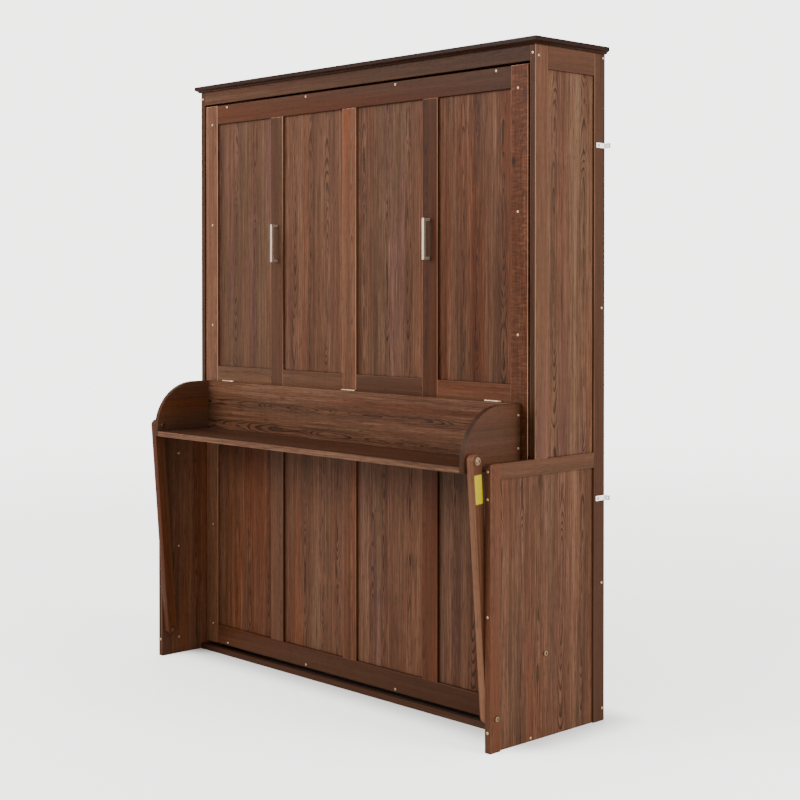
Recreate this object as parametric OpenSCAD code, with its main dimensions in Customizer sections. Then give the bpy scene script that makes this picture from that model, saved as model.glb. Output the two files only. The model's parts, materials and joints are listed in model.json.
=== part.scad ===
// Murphy wall bed with a fold-down front desk, closed position.
// Millimetres. +Z up, the desk faces -Y, +X is to the viewer's right.
// The origin is the bottom centre of the whole assembly's bounding box.

/* [Cabinet] */
// outside width over the two sides
cabinet_width = 1730; // [1700:1:1760]
// top of the crown board above the floor
cabinet_height = 2181; // [2175:1:2200]
// depth of the deeper lower part of each side
side_depth = 540; // [530:1:560]
// how far the upper part of each side stands back from the lower part
upper_setback = 202; // [198:1:206]
// thickness of the side frames
side_thickness = 22; // [20:0.5:22.5]
// height of the deeper lower part of each side
lower_height = 874; // [860:1:890]
// thickness of the loose panels in the side frames
side_panel_thickness = 15; // [8:0.5:16]
// thickness of the crown board
crown_thickness = 14; // [12:1:16]
// overhang of the crown board at the front and at both ends
crown_overhang = 19; // [17:1:22]

/* [Bed] */
// clearance between the bed and each side
bed_side_gap = 9; // [4:0.5:10]
// thickness of the stiles and rails of the bed front
bed_frame_thickness = 20; // [18:0.5:21]
// how deep the panels sit behind the stiles
bed_panel_recess = 10; // [4:1:11]
// depth of the bed box behind the bed front
bed_box_depth = 168; // [120:1:180]
// number of slats across the bed
slat_count = 12; // [8:1:14]
// width of one slat
slat_width = 80; // [50:1:90]

/* [Desk] */
// thickness of the desk boards
desk_thickness = 20; // [18:0.5:20]
// how far the desk shelf reaches in front of the lower sides
desk_reach = 57; // [40:1:60]
// radius of the rounded corner of the desk ends
desk_corner_radius = 170; // [100:1:185]

/* [Links and hardware] */
// width of a link arm
link_width = 38; // [34:1:40]
// thickness of a link arm
link_thickness = 26; // [20:0.5:26]
// running clearance around each pivot pin, on the radius
pin_clearance = 0.08; // [0.02:0.01:0.1]
// length of each butt hinge
hinge_length = 70; // [50:1:80]
// distance between the two posts of each pull handle
handle_post_pitch = 128; // [96:1:160]

/* [Hidden] */
half_width = cabinet_width / 2;
inner_x = half_width - side_thickness;
rear_y = side_depth;
bracket_sheet = 2;
bracket_rear_y = rear_y + bracket_sheet;
desk_front_y = -desk_reach;
frame_shift = -(bracket_rear_y + desk_front_y) / 2;
bed_face_y = upper_setback;

// pivots, seen from the side as [y, z]
bed_pivot = [bed_face_y + 56.5, 263];
link_vector = [-60, 783];
desk_hinge = bed_pivot + link_vector;
link_foot = [28, 102];
link_head = link_foot + link_vector;

// side frames
rear_stile_width = 53;
upper_stile_width = 60;
lower_stile_width = 45;
side_top_rail = 81;
side_mid_rail = 48;
crown_z = cabinet_height - crown_thickness;
cove_height = 8;
cove_depth = 14;
rear_stile_y = rear_y - rear_stile_width;
lower_corner_radius = 8;

// rails across the cabinet
fascia_bottom = 2109;
fascia_thickness = 20;
rear_rail_thickness = 20;
rear_rail_height = 90;
rear_mid_rail_z = 700;
skid_front_y = 180;
skid_depth = 20;
skid_height = 22;

// wall brackets
bracket_levels = [725, 1864];
bracket_height = 16;
bracket_arm = 44;
bracket_flange = 20;
bracket_hole_radius = 2.5;
bracket_hole_x = half_width + bracket_flange / 2 + 1.5;

// bed front
bed_half = inner_x - bed_side_gap;
bed_bottom = 31;
bed_top = 2101;
outer_stile = 71.5;
inner_stile = 70;
stile_centres = [-401, 0, 401];
bed_rail = 71;
mid_rail_bottom = 1010;
mid_rail_top = 1102;
bed_panel_thickness = 8;
panel_left = [-bed_half + outer_stile, -401 + inner_stile / 2, inner_stile / 2, 401 + inner_stile / 2];
panel_right = [-401 - inner_stile / 2, -inner_stile / 2, 401 - inner_stile / 2, bed_half - outer_stile];

// bed box
box_front_y = bed_face_y + bed_frame_thickness;
box_rear_y = box_front_y + bed_box_depth;
box_top = bed_top - 5;
side_rail_thickness = 20;
end_board_thickness = 18;
box_inner_x = bed_half - side_rail_thickness;
ledger_width = 30;
ledger_depth = 18;
slat_thickness = 15;
slat_first_z = bed_bottom + end_board_thickness + 30;
slat_last_z = box_top - end_board_thickness - 30 - slat_width;
slat_pitch = (slat_last_z - slat_first_z) / (slat_count - 1);

// desk
desk_half = 808;
desk_end_thickness = 18;
desk_bottom = 845;
desk_top = desk_hinge[1] - 1;
desk_rear_y = desk_hinge[0] - 0.5;
desk_inner_x = desk_half - desk_end_thickness;

// pins, bolts and screws
pivot_radius = 6;
link_pin_radius = 5;
bolt_head_radius = 8;
bolt_head_height = 4;
washer_radius = 12.5;
washer_thickness = 2;
screw_head_radius = 4.5;
screw_head_height = 1.2;
screw_shank_radius = 2;
screw_length = 12;
screw_clearance = 0.1;
link_inner_x = inner_x - 2.5 - link_thickness;
link_outer_x = inner_x - 2.5;

// hinges
hinge_positions = [-690, 0, 690];
leaf_thickness = 1.6;
leaf_height = 34;
knuckle_radius = 3.2;
hinge_pin_radius = 1.6;
knuckle_gap = 0.4;

// handles
handle_x = [-398, 398];
handle_z = 1566;
handle_standoff = 30;
handle_bar = 10;
handle_length = handle_post_pitch + handle_bar;

// sticker on the right link
sticker_size = [32, 89, 0.4];
sticker_along = 86;

// screw places on the bed front as [x, z]
stile_screw_levels = [103, 488, 873, 1258, 1643, 2029];
rail_screw_places = [-700, -235, 235, 700];
side_screw_x = 793;

// screw places on the side frames as [y, z] or z
edge_screw_levels = [62, 412, 768, 852];
inner_screw_levels = [62, 412, 768];
inner_screw_y = 77;
upper_edge_screw_levels = [2133];
rear_screw_places = [[530, 41], [526, 450], [524, 1340], [530, 2146]];
front_screw_places = [[217, 2125], [190, 10]];

// ---- shared shapes ----

// everything is drawn from the lower sides' front plane and moved into the shared frame
module in_frame() {
    translate([0, frame_shift, 0])
        children();
}

// box between two corners
module board(low, high) {
    translate(low)
        cube(high - low);
}

// mirrors a right-hand shape to the left
module on_side(side) {
    scale_x = side < 0 ? 1 : 0;
    mirror([scale_x, 0, 0])
        children();
}

// cylinder along +X, from the given point
module rod_x(point, radius, length, facets = 48) {
    translate(point)
        rotate([0, 90, 0])
            cylinder(h = length, r = radius, $fn = facets);
}

// cylinder along +Y, from the given point
module rod_y(point, radius, length, facets = 24) {
    translate(point)
        rotate([-90, 0, 0])
            cylinder(h = length, r = radius, $fn = facets);
}

// screw whose head sits on a face that looks towards -Y
module screw_facing_front(point) {
    rod_y([point[0], point[1] - screw_head_height, point[2]], screw_head_radius, screw_head_height);
    rod_y(point, screw_shank_radius, screw_length);
}

// pilot hole of that screw
module pilot_facing_front(point) {
    rod_y([point[0], point[1] - 1, point[2]], screw_shank_radius + screw_clearance, screw_length + 1.2);
}

// screw whose head sits on a face that looks towards +X
module screw_facing_right(point) {
    rod_x(point, screw_head_radius, screw_head_height, 24);
    rod_x([point[0] - screw_length, point[1], point[2]], screw_shank_radius, screw_length, 24);
}

// pilot hole of that screw
module pilot_facing_right(point) {
    start = point[0] - screw_length - 0.2;
    rod_x([start, point[1], point[2]], screw_shank_radius + screw_clearance, screw_length + 1.2, 24);
}

// screw whose head sits on a face that looks towards -X
module screw_facing_left(point) {
    rod_x([point[0] - screw_head_height, point[1], point[2]], screw_head_radius, screw_head_height, 24);
    rod_x(point, screw_shank_radius, screw_length, 24);
}

// pilot hole of that screw
module pilot_facing_left(point) {
    start = point[0] - 1;
    rod_x([start, point[1], point[2]], screw_shank_radius + screw_clearance, screw_length + 1.2, 24);
}

// ---- cabinet sides, drawn for the right side ----

// upright along the wall, the full height of the side
module rear_stile() {
    color("saddlebrown")
        difference() {
            board([inner_x, rear_stile_y, 0], [half_width, rear_y, crown_z]);
            for (place = rear_screw_places)
                pilot_facing_right([half_width, place[0], place[1]]);
            for (level = bracket_levels)
                pilot_facing_right([half_width, rear_y - 34, level]);
        }
}

// front upright of the upper part
module upper_stile() {
    color("saddlebrown")
        difference() {
            board([inner_x, upper_setback, lower_height],
                [half_width, upper_setback + upper_stile_width, crown_z]);
            for (level = upper_edge_screw_levels)
                pilot_facing_front([half_width - side_thickness / 2, upper_setback, level]);
            pilot_facing_right([half_width, front_screw_places[0][0], front_screw_places[0][1]]);
        }
}

// rail below the crown board
module side_top_rail_board() {
    color("saddlebrown")
        board([inner_x, upper_setback + upper_stile_width, crown_z - side_top_rail],
            [half_width, rear_stile_y, crown_z]);
}

// loose panel of the upper part
module side_upper_panel() {
    color("peru")
        board([inner_x, upper_setback + upper_stile_width, lower_height],
            [inner_x + side_panel_thickness, rear_stile_y, crown_z - side_top_rail]);
}

// front upright of the deeper lower part, with a rounded top corner
module lower_stile() {
    color("saddlebrown")
        difference() {
            union() {
                board([inner_x, 0, 0], [half_width, lower_stile_width, lower_height - lower_corner_radius]);
                board([inner_x, lower_corner_radius, lower_height - lower_corner_radius],
                    [half_width, lower_stile_width, lower_height]);
                rod_x([inner_x, lower_corner_radius, lower_height - lower_corner_radius],
                    lower_corner_radius, side_thickness);
            }
            for (level = edge_screw_levels)
                pilot_facing_front([half_width - side_thickness / 2, 0, level]);
            rod_x([inner_x - 1, link_foot[0], link_foot[1]], link_pin_radius + pin_clearance,
                side_thickness + 2);
        }
}

// rail at the top of the lower part, running back to the rear stile
module side_mid_rail_board() {
    color("saddlebrown")
        board([inner_x, lower_stile_width, lower_height - side_mid_rail],
            [half_width, rear_stile_y, lower_height]);
}

// loose panel of the lower part, down to the floor
module side_lower_panel() {
    color("peru")
        difference() {
            board([inner_x, lower_stile_width, 0],
                [inner_x + side_panel_thickness, rear_stile_y, lower_height - side_mid_rail]);
            rod_x([inner_x - 1, bed_pivot[0], bed_pivot[1]], pivot_radius + pin_clearance,
                side_thickness + 2);
            for (level = inner_screw_levels)
                pilot_facing_left([inner_x, inner_screw_y, level]);
            pilot_facing_right([inner_x + side_panel_thickness, front_screw_places[1][0],
                front_screw_places[1][1]]);
        }
}

module left_rear_stile() {
    in_frame() on_side(-1) rear_stile();
}

module left_upper_stile() {
    in_frame() on_side(-1) upper_stile();
}

module left_top_rail() {
    in_frame() on_side(-1) side_top_rail_board();
}

module left_upper_panel() {
    in_frame() on_side(-1) side_upper_panel();
}

module left_lower_stile() {
    in_frame() on_side(-1) lower_stile();
}

module left_mid_rail() {
    in_frame() on_side(-1) side_mid_rail_board();
}

module left_lower_panel() {
    in_frame() on_side(-1) side_lower_panel();
}

module right_rear_stile() {
    in_frame() rear_stile();
}

module right_upper_stile() {
    in_frame() upper_stile();
}

module right_top_rail() {
    in_frame() side_top_rail_board();
}

module right_upper_panel() {
    in_frame() side_upper_panel();
}

module right_lower_stile() {
    in_frame() lower_stile();
}

module right_mid_rail() {
    in_frame() side_mid_rail_board();
}

module right_lower_panel() {
    in_frame() side_lower_panel();
}

// ---- crown and cross rails ----

module crown_board() {
    color("sienna")
        in_frame()
            board([-half_width - crown_overhang, upper_setback - crown_overhang, crown_z],
                [half_width + crown_overhang, rear_y, cabinet_height]);
}

// cove under the crown board: one run along the front and one along each end
module crown_moulding() {
    color("sienna")
        in_frame()
            difference() {
                board([-half_width - cove_depth, upper_setback - cove_depth, crown_z - cove_height],
                    [half_width + cove_depth, rear_y, crown_z]);
                board([-half_width, upper_setback, crown_z - cove_height - 1],
                    [half_width, rear_y + 1, crown_z + 1]);
                rod_x([-half_width - cove_depth - 1, upper_setback - cove_depth, crown_z - cove_height],
                    cove_height - 2, cabinet_width + 2 * cove_depth + 2);
                for (side = [-1, 1])
                    rod_y([side * (half_width + cove_depth), upper_setback - cove_depth - 1,
                        crown_z - cove_height], cove_height - 2, rear_y, 48);
            }
}

// board over the bed front
module top_fascia() {
    color("saddlebrown")
        in_frame()
            board([-inner_x, upper_setback, fascia_bottom],
                [inner_x, upper_setback + fascia_thickness, crown_z]);
}

// rail along the wall under the crown
module rear_top_rail() {
    color("saddlebrown")
        in_frame()
            board([-inner_x, rear_y - rear_rail_thickness, crown_z - rear_rail_height],
                [inner_x, rear_y, crown_z]);
}

// rail along the wall behind the mattress
module rear_mid_rail() {
    color("saddlebrown")
        in_frame()
            board([-inner_x, rear_y - rear_rail_thickness, rear_mid_rail_z],
                [inner_x, rear_y, rear_mid_rail_z + rear_rail_height]);
}

// low rail on the floor between the sides
module front_skid_rail() {
    color("sienna")
        in_frame()
            board([-inner_x, skid_front_y, 0], [inner_x, skid_front_y + skid_depth, skid_height]);
}

// four angle brackets that screw the rear stiles to the wall
module wall_brackets() {
    color("silver")
        in_frame()
            for (side = [0, 1], level = bracket_levels)
                mirror([side, 0, 0])
                    difference() {
                        union() {
                            board([half_width, rear_y - bracket_arm, level - bracket_height / 2],
                                [half_width + bracket_sheet, bracket_rear_y, level + bracket_height / 2]);
                            board([half_width, rear_y, level - bracket_height / 2],
                                [half_width + bracket_flange + bracket_sheet, bracket_rear_y,
                                level + bracket_height / 2]);
                        }
                        rod_y([bracket_hole_x, rear_y - 1, level], bracket_hole_radius, bracket_sheet + 2);
                        rod_x([half_width - 1, rear_y - 34, level], screw_shank_radius + screw_clearance,
                            bracket_sheet + 2, 24);
                    }
}

// two bed pivot bolts and two link foot bolts, each with its head outside the lower side
module cabinet_bolts() {
    color("lightgray")
        in_frame()
            for (side = [0, 1])
                mirror([side, 0, 0]) {
                    rod_x([box_inner_x + 4, bed_pivot[0], bed_pivot[1]], pivot_radius,
                        inner_x + side_panel_thickness - box_inner_x - 4);
                    rod_x([inner_x + side_panel_thickness, bed_pivot[0], bed_pivot[1]], bolt_head_radius,
                        bolt_head_height);
                    rod_x([link_inner_x - 1, link_foot[0], link_foot[1]], link_pin_radius,
                        half_width - link_inner_x + 1);
                    rod_x([half_width, link_foot[0], link_foot[1]], bolt_head_radius, bolt_head_height);
                    rod_x([link_inner_x - 1 - bolt_head_height, link_foot[0], link_foot[1]],
                        bolt_head_radius, bolt_head_height);
                }
}

// wood screws of the cabinet
module cabinet_screws() {
    color("gainsboro")
        in_frame()
            for (side = [0, 1])
                mirror([side, 0, 0]) {
                    for (place = rear_screw_places)
                        screw_facing_right([half_width, place[0], place[1]]);
                    for (level = bracket_levels)
                        screw_facing_right([half_width + bracket_sheet, rear_y - 34, level]);
                    for (level = upper_edge_screw_levels)
                        screw_facing_front([half_width - side_thickness / 2, upper_setback, level]);
                    screw_facing_right([half_width, front_screw_places[0][0], front_screw_places[0][1]]);
                    screw_facing_right([inner_x + side_panel_thickness, front_screw_places[1][0],
                        front_screw_places[1][1]]);
                    for (level = edge_screw_levels)
                        screw_facing_front([half_width - side_thickness / 2, 0, level]);
                    for (level = inner_screw_levels)
                        screw_facing_left([inner_x, inner_screw_y, level]);
                }
}

// ---- bed ----

// upright of the bed front, screwed to the bed box
module bed_outer_stile(side) {
    color("saddlebrown")
        in_frame()
            on_side(side)
                difference() {
                    board([bed_half - outer_stile, bed_face_y, bed_bottom],
                        [bed_half, box_front_y, bed_top]);
                    for (level = stile_screw_levels)
                        pilot_facing_front([side_screw_x, bed_face_y, level]);
                }
}

module bed_left_stile() {
    bed_outer_stile(-1);
}

module bed_right_stile() {
    bed_outer_stile(1);
}

// upright between the bottom rail and the top rail
module bed_inner_stile(number) {
    centre = stile_centres[number - 1];
    color("saddlebrown")
        in_frame()
            board([centre - inner_stile / 2, bed_face_y, bed_bottom + bed_rail],
                [centre + inner_stile / 2, box_front_y, bed_top - bed_rail]);
}

module bed_inner_stile_1() {
    bed_inner_stile(1);
}

module bed_inner_stile_2() {
    bed_inner_stile(2);
}

module bed_inner_stile_3() {
    bed_inner_stile(3);
}

module bed_top_rail() {
    color("saddlebrown")
        in_frame()
            difference() {
                board([-bed_half + outer_stile, bed_face_y, bed_top - bed_rail],
                    [bed_half - outer_stile, box_front_y, bed_top]);
                for (place = rail_screw_places)
                    pilot_facing_front([place, bed_face_y, bed_top - 10]);
            }
}

// four short rails between the uprights, above the desk
module bed_mid_rails() {
    color("saddlebrown")
        in_frame()
            for (i = [0:3])
                board([panel_left[i], bed_face_y, mid_rail_bottom],
                    [panel_right[i], box_front_y, mid_rail_top]);
}

module bed_bottom_rail() {
    color("saddlebrown")
        in_frame()
            difference() {
                board([-bed_half + outer_stile, bed_face_y, bed_bottom],
                    [bed_half - outer_stile, box_front_y, bed_bottom + bed_rail]);
                for (place = rail_screw_places)
                    pilot_facing_front([place, bed_face_y, bed_bottom + 10]);
            }
}

// thin recessed panel of the bed front
module bed_panel(number, low_z, high_z) {
    color("peru")
        in_frame()
            board([panel_left[number - 1], bed_face_y + bed_panel_recess, low_z],
                [panel_right[number - 1], bed_face_y + bed_panel_recess + bed_panel_thickness, high_z]);
}

module bed_upper_panel_1() {
    bed_panel(1, mid_rail_top, bed_top - bed_rail);
}

module bed_upper_panel_2() {
    bed_panel(2, mid_rail_top, bed_top - bed_rail);
}

module bed_upper_panel_3() {
    bed_panel(3, mid_rail_top, bed_top - bed_rail);
}

module bed_upper_panel_4() {
    bed_panel(4, mid_rail_top, bed_top - bed_rail);
}

module bed_lower_panel_1() {
    bed_panel(1, bed_bottom + bed_rail, mid_rail_bottom);
}

module bed_lower_panel_2() {
    bed_panel(2, bed_bottom + bed_rail, mid_rail_bottom);
}

module bed_lower_panel_3() {
    bed_panel(3, bed_bottom + bed_rail, mid_rail_bottom);
}

module bed_lower_panel_4() {
    bed_panel(4, bed_bottom + bed_rail, mid_rail_bottom);
}

// long board of the bed box, with the pivot bore
module bed_side_rail(side) {
    color("burlywood")
        in_frame()
            on_side(side)
                difference() {
                    board([box_inner_x, box_front_y, bed_bottom], [bed_half, box_rear_y, box_top]);
                    rod_x([box_inner_x - 1, bed_pivot[0], bed_pivot[1]], pivot_radius + pin_clearance,
                        side_rail_thickness + 2);
                }
}

module bed_left_side_rail() {
    bed_side_rail(-1);
}

module bed_right_side_rail() {
    bed_side_rail(1);
}

module bed_head_board() {
    color("burlywood")
        in_frame()
            board([-box_inner_x, box_front_y, box_top - end_board_thickness],
                [box_inner_x, box_rear_y, box_top]);
}

module bed_foot_board() {
    color("burlywood")
        in_frame()
            board([-box_inner_x, box_front_y, bed_bottom],
                [box_inner_x, box_rear_y, bed_bottom + end_board_thickness]);
}

// three strips that carry the slats
module bed_ledgers() {
    low_z = bed_bottom + end_board_thickness;
    high_z = box_top - end_board_thickness;
    color("burlywood")
        in_frame() {
            for (start = [-box_inner_x, -ledger_width / 2, box_inner_x - ledger_width])
                board([start, box_front_y, low_z],
                    [start + ledger_width, box_front_y + ledger_depth, high_z]);
        }
}

module bed_slats() {
    slat_y = box_front_y + ledger_depth;
    color("wheat")
        in_frame()
            for (i = [0:slat_count - 1])
                board([-box_inner_x, slat_y, slat_first_z + i * slat_pitch],
                    [box_inner_x, slat_y + slat_thickness, slat_first_z + i * slat_pitch + slat_width]);
}

module bed_screws() {
    color("gainsboro")
        in_frame() {
            for (side = [-1, 1], level = stile_screw_levels)
                screw_facing_front([side * side_screw_x, bed_face_y, level]);
            for (place = rail_screw_places, level = [bed_bottom + 10, bed_top - 10])
                screw_facing_front([place, bed_face_y, level]);
        }
}

// square bar pull with a post at each end
module pull_handle(x) {
    half_bar = handle_bar / 2;
    bar_y = bed_face_y - handle_standoff;
    color("silver")
        in_frame()
            union() {
                board([x - half_bar, bar_y, handle_z - handle_length / 2],
                    [x + half_bar, bar_y + handle_bar, handle_z + handle_length / 2]);
                for (end = [-1, 1])
                    board([x - half_bar, bar_y, handle_z + end * handle_post_pitch / 2 - half_bar],
                        [x + half_bar, bed_face_y, handle_z + end * handle_post_pitch / 2 + half_bar]);
            }
}

module handle_left() {
    pull_handle(handle_x[0]);
}

module handle_right() {
    pull_handle(handle_x[1]);
}

// ---- hinges between the bed and the desk ----

// the bed's leaf carries the pin and the two outer knuckles
module hinge_bed_leaves() {
    third = hinge_length / 3;
    color("silver")
        in_frame()
            for (x = hinge_positions)
                difference() {
                    union() {
                        board([x - hinge_length / 2, bed_face_y - leaf_thickness,
                            desk_hinge[1] - leaf_height],
                            [x + hinge_length / 2, bed_face_y, desk_hinge[1]]);
                        rod_x([x - hinge_length / 2, desk_hinge[0], desk_hinge[1]], knuckle_radius, third);
                        rod_x([x + hinge_length / 2 - third, desk_hinge[0], desk_hinge[1]],
                            knuckle_radius, third);
                        rod_x([x - hinge_length / 2, desk_hinge[0], desk_hinge[1]], hinge_pin_radius,
                            hinge_length);
                    }
                    board([x - third / 2 - knuckle_gap, bed_face_y - leaf_thickness - 1,
                        desk_hinge[1] - knuckle_radius - 2], [x + third / 2 + knuckle_gap,
                        bed_face_y + 1, desk_hinge[1] + 1]);
                }
}

// the desk's leaf carries the middle knuckle
module hinge_desk_leaves() {
    third = hinge_length / 3;
    leaf_rear_y = desk_rear_y + leaf_thickness;
    color("silver")
        in_frame()
            for (x = hinge_positions)
                difference() {
                    union() {
                        board([x - hinge_length / 2, desk_rear_y, desk_hinge[1] - leaf_height],
                            [x + hinge_length / 2, leaf_rear_y, desk_hinge[1] - knuckle_radius - 0.5]);
                        board([x - third / 2 + knuckle_gap, desk_rear_y,
                            desk_hinge[1] - knuckle_radius - 0.5],
                            [x + third / 2 - knuckle_gap, leaf_rear_y, desk_hinge[1]]);
                        rod_x([x - third / 2 + knuckle_gap, desk_hinge[0], desk_hinge[1]],
                            knuckle_radius, third - 2 * knuckle_gap);
                    }
                    rod_x([x - hinge_length / 2 - 1, desk_hinge[0], desk_hinge[1]],
                        hinge_pin_radius + pin_clearance, hinge_length + 2);
                }
}

// ---- desk ----

module desk_back_board() {
    color("sienna")
        in_frame()
            difference() {
                board([-desk_inner_x, desk_rear_y - desk_thickness, desk_bottom],
                    [desk_inner_x, desk_rear_y, desk_top]);
                for (x = hinge_positions)
                    rod_x([x - hinge_length / 2 - 1, desk_hinge[0], desk_hinge[1]],
                        knuckle_radius + 1, hinge_length + 2);
            }
}

module desk_shelf() {
    color("sienna")
        in_frame()
            board([-desk_inner_x, desk_front_y, desk_bottom],
                [desk_inner_x, desk_rear_y - desk_thickness, desk_bottom + desk_thickness]);
}

// end panel with a rounded front corner, drawn for the right end
module desk_end() {
    centre_y = desk_front_y + desk_corner_radius;
    centre_z = desk_top - desk_corner_radius;
    color("saddlebrown")
        difference() {
            union() {
                board([desk_inner_x, desk_front_y, desk_bottom], [desk_half, desk_rear_y, centre_z]);
                board([desk_inner_x, centre_y, centre_z], [desk_half, desk_rear_y, desk_top]);
                intersection() {
                    rod_x([desk_inner_x, centre_y, centre_z], desk_corner_radius, desk_end_thickness, 96);
                    board([desk_inner_x, desk_front_y, centre_z], [desk_half, centre_y, desk_top]);
                }
            }
            rod_x([desk_inner_x - 1, link_head[0], link_head[1]], link_pin_radius + screw_clearance,
                desk_end_thickness + 2);
            pilot_facing_right([desk_half, desk_rear_y - desk_thickness / 2, desk_top - 36]);
            pilot_facing_right([desk_half, desk_rear_y - desk_thickness / 2, desk_bottom + 60]);
            pilot_facing_right([desk_half, desk_rear_y - 90, desk_bottom + desk_thickness / 2]);
        }
}

module desk_left_end() {
    in_frame() on_side(-1) desk_end();
}

module desk_right_end() {
    in_frame() desk_end();
}

// bolts fixed in the desk ends that carry the link heads, with their washers and nuts
module desk_bolts() {
    color("lightgray")
        in_frame()
            for (side = [0, 1])
                mirror([side, 0, 0]) {
                    rod_x([desk_inner_x, link_head[0], link_head[1]], link_pin_radius,
                        link_outer_x + 1 - desk_inner_x);
                    rod_x([link_outer_x + 1, link_head[0], link_head[1]], washer_radius, washer_thickness);
                    rod_x([link_outer_x + 1 + washer_thickness, link_head[0], link_head[1]],
                        bolt_head_radius, bolt_head_height);
                    rod_x([desk_inner_x - bolt_head_height, link_head[0], link_head[1]],
                        bolt_head_radius, bolt_head_height);
                    rod_x([desk_half, link_head[0], link_head[1]], bolt_head_radius,
                        link_inner_x - desk_half - 1);
                }
}

module desk_screws() {
    color("gainsboro")
        in_frame()
            for (side = [0, 1])
                mirror([side, 0, 0]) {
                    screw_facing_right([desk_half, desk_rear_y - desk_thickness / 2, desk_top - 36]);
                    screw_facing_right([desk_half, desk_rear_y - desk_thickness / 2, desk_bottom + 60]);
                    screw_facing_right([desk_half, desk_rear_y - 90, desk_bottom + desk_thickness / 2]);
                }
}

// ---- link arms ----

// flat arm with round ends and a bore at each end
module link_arm() {
    link_length = norm(link_vector);
    tilt = atan2(-link_vector[0], link_vector[1]);
    color("saddlebrown")
        translate([link_inner_x, link_foot[0], link_foot[1]])
            rotate([tilt, 0, 0])
                difference() {
                    union() {
                        board([0, -link_width / 2, 0], [link_thickness, link_width / 2, link_length]);
                        rod_x([0, 0, 0], link_width / 2, link_thickness, 64);
                        rod_x([0, 0, link_length], link_width / 2, link_thickness, 64);
                    }
                    for (level = [0, link_length])
                        rod_x([-1, 0, level], link_pin_radius + pin_clearance, link_thickness + 2);
                }
}

module link_left() {
    in_frame() on_side(-1) link_arm();
}

module link_right() {
    in_frame() link_arm();
}

// plain blank sticker near the head of the right link
module link_sticker() {
    tilt = atan2(-link_vector[0], link_vector[1]);
    low = norm(link_vector) - sticker_along - sticker_size[1] / 2;
    color("yellow")
        in_frame()
            translate([link_outer_x, link_foot[0], link_foot[1]])
                rotate([tilt, 0, 0])
                    board([0, -sticker_size[0] / 2, low],
                        [sticker_size[2], sticker_size[0] / 2, low + sticker_size[1]]);
}

left_rear_stile();
left_upper_stile();
left_top_rail();
left_upper_panel();
left_lower_stile();
left_mid_rail();
left_lower_panel();
right_rear_stile();
right_upper_stile();
right_top_rail();
right_upper_panel();
right_lower_stile();
right_mid_rail();
right_lower_panel();
crown_board();
crown_moulding();
top_fascia();
rear_top_rail();
rear_mid_rail();
front_skid_rail();
wall_brackets();
cabinet_bolts();
cabinet_screws();
bed_left_stile();
bed_right_stile();
bed_inner_stile_1();
bed_inner_stile_2();
bed_inner_stile_3();
bed_top_rail();
bed_mid_rails();
bed_bottom_rail();
bed_upper_panel_1();
bed_upper_panel_2();
bed_upper_panel_3();
bed_upper_panel_4();
bed_lower_panel_1();
bed_lower_panel_2();
bed_lower_panel_3();
bed_lower_panel_4();
bed_left_side_rail();
bed_right_side_rail();
bed_head_board();
bed_foot_board();
bed_ledgers();
bed_slats();
bed_screws();
hinge_bed_leaves();
handle_left();
handle_right();
desk_back_board();
desk_shelf();
desk_left_end();
desk_right_end();
hinge_desk_leaves();
desk_bolts();
desk_screws();
link_left();
link_right();
link_sticker();
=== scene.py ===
"""Finished pieces of the murphy wall bed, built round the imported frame."""

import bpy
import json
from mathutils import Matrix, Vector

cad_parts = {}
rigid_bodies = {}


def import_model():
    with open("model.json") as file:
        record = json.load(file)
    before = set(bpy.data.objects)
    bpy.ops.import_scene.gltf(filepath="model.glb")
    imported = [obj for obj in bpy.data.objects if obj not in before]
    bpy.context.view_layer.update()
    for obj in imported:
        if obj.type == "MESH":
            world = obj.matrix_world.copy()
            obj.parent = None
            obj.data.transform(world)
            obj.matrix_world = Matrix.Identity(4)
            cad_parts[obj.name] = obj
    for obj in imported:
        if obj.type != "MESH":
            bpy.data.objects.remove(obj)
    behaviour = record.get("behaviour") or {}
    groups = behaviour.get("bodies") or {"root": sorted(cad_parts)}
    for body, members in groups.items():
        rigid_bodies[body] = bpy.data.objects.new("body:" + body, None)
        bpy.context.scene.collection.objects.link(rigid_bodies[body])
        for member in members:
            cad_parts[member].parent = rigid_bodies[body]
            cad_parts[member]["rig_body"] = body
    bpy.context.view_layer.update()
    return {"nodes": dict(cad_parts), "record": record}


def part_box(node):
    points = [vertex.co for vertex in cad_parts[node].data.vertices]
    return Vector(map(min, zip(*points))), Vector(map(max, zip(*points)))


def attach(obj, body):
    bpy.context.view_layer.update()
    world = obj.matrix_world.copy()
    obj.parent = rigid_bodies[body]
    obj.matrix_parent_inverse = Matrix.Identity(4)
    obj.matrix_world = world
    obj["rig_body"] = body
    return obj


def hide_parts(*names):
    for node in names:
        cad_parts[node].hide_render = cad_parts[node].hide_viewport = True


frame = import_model()

import json
import math
import random

import bmesh
import bpy
from mathutils import Matrix, Vector

bl_info = {
    "name": "Murphy wall bed",
    "version": (1, 0, 0),
    "blender": (4, 5, 0),
    "location": "View3D > Sidebar > Wall Bed",
    "description": "Builds a closed murphy wall bed with a fold-down desk",
    "category": "Object",
}

MM = 0.001
# how far a screw's head stands on its seat in the CAD model
SCREW_SEAT = 1.2 * MM
LINK_WIDTH = 38 * MM
# the boards are glued up from staves of this width
STAVE_WIDTH = 0.098
# painted shade under the desk starts at the first height and is full at the second
DESK_SHADE_TOP, DESK_SHADE_FOOT = 0.90, 0.80
# the faces of a round shape meet at angles between the first two, and an edge sharper than
# the third is eased
ROUND_FROM, ROUND_TO, SHARP_FROM = math.radians(0.6), math.radians(30), math.radians(35)
# half width, half depth and middle of the floor that the closed bed stands over
FOOT_HALF_WIDTH, FOOT_HALF_DEPTH, FOOT_MIDDLE = 0.86, 0.18, 0.12
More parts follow.
